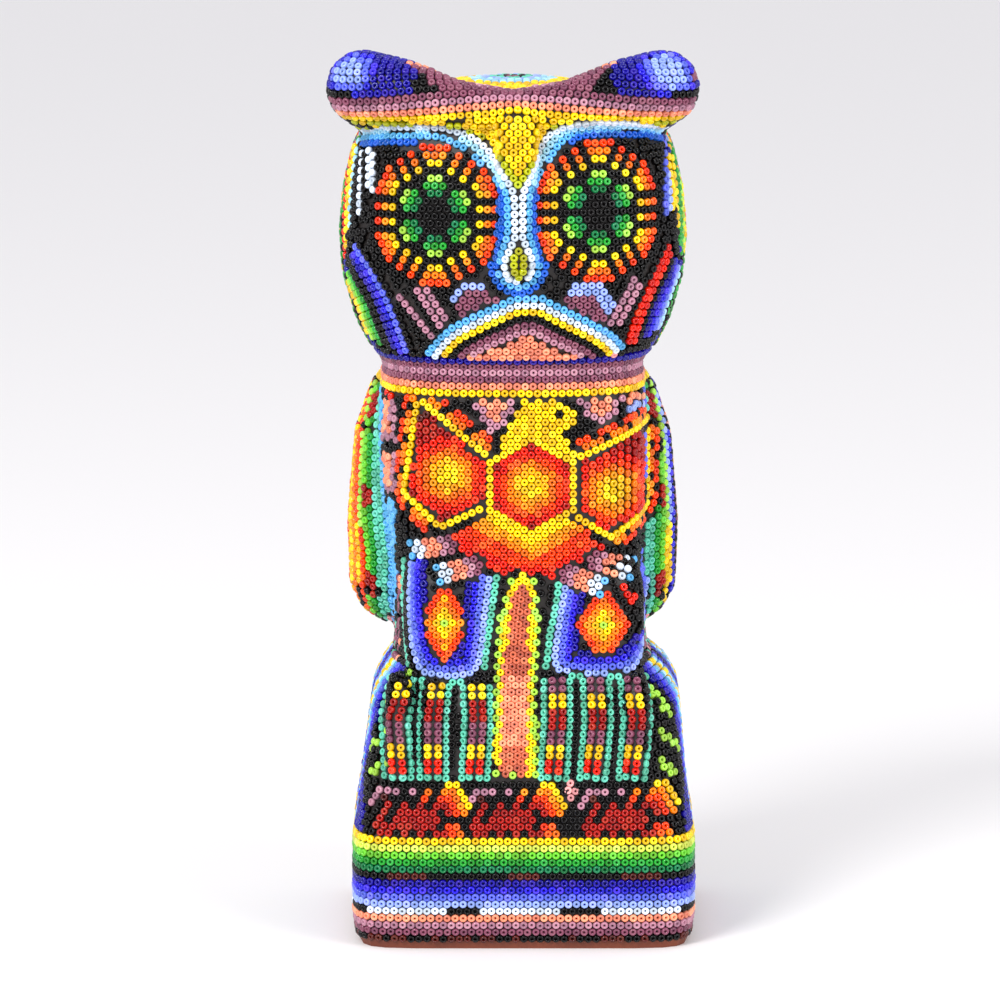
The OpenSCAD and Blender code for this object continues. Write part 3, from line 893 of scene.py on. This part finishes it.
def face_colour(p):
    x, z = p.x, p.z
    if -7.5 < x < 4.0 and 181 < z < 212 and p.y < -39:  # the nose
        return shade(abs(x + 1.8), [(2.4, "palesky"), (4, "sky"), (99, "midblue")])
    if inside(x, z, FOREHEAD) > -1.5:
        return "yellow"
    if z > 222.5 and p.y < -24:
        return "yellow" if z > 224.5 else "olive"
    if inside(x, z, MOUTH) > 0:
        return "peach" if abs(x - 0.8) < 17 else "mauve"
    return "black"


def mound_colour(p):
    x, y, z = p
    if y < -30 and abs(x) < 36.5:
        return "black"
    if abs(x) <= 30:
        return back_colour(p)
    if y < -26:  # slanting dashes beside the feet
        if (z * 0.9 + abs(x) * 1.1) % 6.6 < 2.1 and z > 47 and abs(x) < 43.5:
            return "lime"
        return "black" if abs(x) < 43 else "deepblue"
    return MOUND_STRIPES[min(6, int(abs((y + 27) % 26 - 13) / ROW))]


def back_colour(p):
    """Round flowers on a striped ground."""
    x, z = p.x - OWL_X * (p.z > 80), p.z
    for cz, size in FLOWERS:
        r = math.hypot(x, z - cz) / size
        if r < 1:
            a = math.degrees(math.atan2(z - cz, x)) % 45
            if r < 0.18:
                return "yellow"
            if abs(a - 22.5) < 15 and r < 0.62:
                return shade(r, PETAL)
            return shade(r, RIM) if r > 0.74 else "black"
    return shade((z + 0.35 * abs(x)) % 30, STRIPES)


def crown_colour(p):
    """Round bands on top of the head, inside the brow and the ears."""
    u = abs(p.x - OWL_X)
    if p.y < -20 and p.z < 230.4:
        return "peach" if p.z > 228.0 else "yellow"
    if p.y < -14 and u > 24:
        return ear_colour(p)
    if p.y < -27 and u < 24:
        return "yellow" if u < 16 else "mauve"
    return shade(math.hypot(p.x - OWL_X, (p.y - 1) * 1.1), CROWN)


def body_colour(p):
    x, y, z = p
    if on_chest(p):
        return chest_colour(p) if z > 102.6 else "black"
    if y < -13:
        if abs(x) < 33:
            return "black"
        return shade(abs(y + 34) % 13, [(3, "black"), (5, "peach"), (7, "mauve"), (13, "black")])
    if y > 22:
        return back_colour(p)
    if z < 86:  # under the wings
        return shade((abs(y) + 2) % 12, [(3, "mauve"), (6, "pink"), (9, "black"), (12, "turquoise")])
    return "black"


def head_colour(p):
    x, y, z = p
    if z > 226.5 or z > 223.5 and y < -16 and abs(x - OWL_X) > 26 and y > -36:
        return crown_colour(p)
    if y < -15:
        return face_colour(p)
    if y < 10:
        return shade((y + 40) % 14, UPRIGHT)
    return back_colour(p)


def colour_at(p, *_):
    """The ground's colour anywhere on the figure."""
    if p.z < FRIEZE_Z - 1:
        return "yellow"
    if p.z < 75.5:
        return mound_colour(p)
    if p.z < NECK_Z:
        return body_colour(p)
    return "mauve" if p.z < 160.2 else head_colour(p)


def level_rows(z, top, where=None):
    """Level rows, closer together where the surface slopes."""
    k = 0
    while z < top:
        ring_row(z, k, colour_at, where, 0.77)
        slopes = []
        for turn in (0, 35, 90, 145, 180):
            low, high = (from_side(math.radians(turn), Vector((-2, 0, h))) for h in (z, z + 1.5))
            if low and high:
                slopes.append((high - low).length / 1.5)
        z += ROW / (sum(slopes) / len(slopes))
        k += 1


def behind_face(p):
    return p.y > -24


level_rows(FRIEZE_Z, 47)
level_rows(47.4, 76, lambda p: p.y > -34)
level_rows(77, NECK_Z, behind_face)
level_rows(163.2, 222, behind_face)
fill(lambda p: True, colour_at)

# ---------------------------------------------------------------- bead meshes
SIDES = 12
# radius and height, in bead heights, round the section of a bead whose top narrows the hole to a funnel
PROFILE = [(HOLE_R, -0.46), (HOLE_R + 0.03, 0.05), (0.45, 0.38), (0.73, 0.5), (0.98, 0.36), (BEAD_R, 0.04),
           (1.02, -0.46)]
MOST = 1150  # beads in one piece
TONE_SHARES = (0.3, 0.5, 0.2)


def ring_shape():
    """Points and quads of one bead at the origin, its hole along z."""
    v, f = [], []
    m = len(PROFILE)
    for i in range(SIDES):
        a = 2 * math.pi * i / SIDES
        v += [(r * math.cos(a), r * math.sin(a), z * BEAD_H) for r, z in PROFILE]
        for j in range(m):
            here, there = i * m, (i + 1) % SIDES * m
            up = (j + 1) % m
            f.append((here + j, there + j, there + up, here + up))
    return np.array(v), np.array(f)


SHAPE_V, SHAPE_F = ring_shape()


def placed_bead(loc, nor):
    """The points of one bead in the beeswax, a little off true as a hand leaves it."""
    lean = Vector((random.gauss(0, 1), random.gauss(0, 1), random.gauss(0, 1))) * 0.055
    n = (nor + lean).normalized()
    t = n.orthogonal().normalized()
    turn = random.uniform(0, 2 * math.pi)
    u = t * math.cos(turn) + n.cross(t) * math.sin(turn)
    w = n.cross(u)
    wide = random.uniform(0.955, 1.02)
    tall = random.uniform(0.88, 1.10)
    up = BEAD_H * 0.5 - SUNK + random.gauss(0, 0.05)
    m = np.array([tuple(u * wide), tuple(w * wide), tuple(n * tall)])
    return SHAPE_V @ m + np.array(tuple(loc + n * (up + random.gauss(0, 0.03))))


def bead_piece(title, node, some):
    """One piece of beads, which stands for a CAD panel or for a share of it."""
    slots, mats = [], []
    for _, _, name in some:
        key = (name, random.choices((0, 1, 2), TONE_SHARES)[0])
        if key not in slots:
            slots.append(key)
        mats.append(slots.index(key))
    points = np.array([placed_bead(loc, nor) for loc, nor, _ in some])
    starts = np.arange(len(some)) * len(SHAPE_V)
    quads = (SHAPE_F[None] + starts[:, None, None]).reshape(-1, 4)
    me = bpy.data.meshes.new(title)
    me.vertices.add(len(some) * len(SHAPE_V))
    me.vertices.foreach_set("co", (points.reshape(-1) * MM).astype(np.float32))
    me.loops.add(quads.size)
    me.loops.foreach_set("vertex_index", quads.reshape(-1).astype(np.int32))
    me.polygons.add(len(quads))
    me.polygons.foreach_set("loop_start", (np.arange(len(quads)) * 4).astype(np.int32))
    me.polygons.foreach_set("material_index", np.repeat(np.array(mats, dtype=np.int32), len(SHAPE_F)))
    me.polygons.foreach_set("use_smooth", np.ones(len(quads), dtype=bool))
    me.update(calc_edges=True)
    for name, tone in slots:
        me.materials.append(glass(name, tone))
    o = link(bpy.data.objects.new(title, me))
    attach(o, BODY)
    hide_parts(node)


def beads_by_panel():
    """The beads of each CAD panel: each bead belongs to the panel that it lies in."""
    owner, co, tris = [], [], []
    for n, o in NODES.items():
        if n.endswith("_beads"):
            base = len(co)
            co += [tuple(v.co / MM) for v in o.data.vertices]
            tris += [tuple(base + v for v in p.vertices) for p in o.data.polygons]
            owner += [n] * len(o.data.polygons)
    tree = BVHTree.FromPolygons(co, tris)
    groups = {}
    for loc, nor, name in beads:
        i = tree.find_nearest(loc + nor * 0.65)[2]
        groups.setdefault(owner[i], []).append((loc, nor, name))
    return groups


for node, some in sorted(beads_by_panel().items()):
    parts = math.ceil(len(some) / MOST)
    for i in range(parts):
        bead_piece(node if parts == 1 else f"{node}_{i + 1}", node, some[i * MOST:(i + 1) * MOST])


# ---------------------------------------------------------------- beeswax and wood
def noisy(name, low, high, scale, rough):
    """A mottled material between two sRGB colours, with a fine bump."""
    m, p = new_material(name)
    t = m.node_tree
    where = t.nodes.new("ShaderNodeTexCoord")
    noise = t.nodes.new("ShaderNodeTexNoise")
    noise.inputs["Scale"].default_value = scale
    noise.inputs["Detail"].default_value = 5
    ramp = t.nodes.new("ShaderNodeValToRGB")
    ramp.color_ramp.elements[0].color = (*linear(low), 1)
    ramp.color_ramp.elements[1].color = (*linear(high), 1)
    bump = t.nodes.new("ShaderNodeBump")
    bump.inputs["Strength"].default_value = 0.5
    bump.inputs["Distance"].default_value = 0.0006
    t.links.new(where.outputs["Object"], noise.inputs["Vector"])
    t.links.new(noise.outputs["Fac"], ramp.inputs["Fac"])
    t.links.new(ramp.outputs["Color"], p.inputs["Base Color"])
    t.links.new(noise.outputs["Fac"], bump.inputs["Height"])
    t.links.new(bump.outputs["Normal"], p.inputs["Normal"])
    p.inputs["Roughness"].default_value = rough
    return m


wax = link(bpy.data.objects.new("beeswax", bed_mesh))
bed_mesh.materials.clear()
bed_mesh.materials.append(noisy("beeswax_dark", (0.045, 0.028, 0.024), (0.10, 0.055, 0.036), 260, 0.5))
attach(wax, BODY)
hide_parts("beeswax_coat")
core = NODES["wooden_core"]
core.data.materials.clear()
core.data.materials.append(noisy("reddish_wood", (0.33, 0.13, 0.07), (0.52, 0.25, 0.14), 90, 0.6))

# ---------------------------------------------------------------- floor and light
floor = link(bpy.data.objects.new("floor", bpy.data.meshes.new("floor")))
floor.data.from_pydata([(-6, -3, 0), (6, -3, 0), (6, 6, 0), (-6, 6, 0)], [], [(0, 1, 2, 3)])
pale, shader = new_material("pale_floor")
shader.inputs["Base Color"].default_value = (0.88, 0.865, 0.85, 1)
shader.inputs["Roughness"].default_value = 0.7
floor.data.materials.append(pale)

bpy.context.scene.view_settings.view_transform = "Standard"
world = bpy.data.worlds.new("studio")
bpy.context.scene.world = world
world.use_nodes = True
world.node_tree.nodes["Background"].inputs["Color"].default_value = (0.95, 0.95, 1.0, 1)
world.node_tree.nodes["Background"].inputs["Strength"].default_value = 0.9


def area(name, at, size, power):
    """A round soft light aimed at the middle of the figure, in metres and watts."""
    d = bpy.data.lights.new(name, "AREA")
    d.shape = "DISK"
    d.size = size
    d.energy = power
    o = link(bpy.data.objects.new(name, d))
    o.location = at
    o.rotation_euler = (Vector((0, 0, 0.12)) - Vector(at)).to_track_quat("-Z", "Y").to_euler()


area("key", (-0.9, -1.3, 1.3), 0.7, 26)
area("fill", (1.2, -1.1, 0.7), 0.9, 12)

# ---------------------------------------------------------------- camera, in metres
TILT = math.radians(9)  # looking down
AWAY = 1.9
FACE_Y = 0.04  # how far the face stands towards the camera
VIEW_W = 0.270  # width that the picture takes in at the face
SENSOR = 36  # millimetres
target = Vector((-0.0065, 0, 0.1175))
cam = link(bpy.data.objects.new("camera", bpy.data.cameras.new("camera")))
cam.location = target + Vector((0, -math.cos(TILT), math.sin(TILT))) * AWAY
cam.rotation_euler = (math.pi / 2 - TILT, 0, 0)
cam.data.sensor_width = SENSOR
cam.data.lens = SENSOR * (AWAY - FACE_Y) / VIEW_W
bpy.context.scene.camera = cam
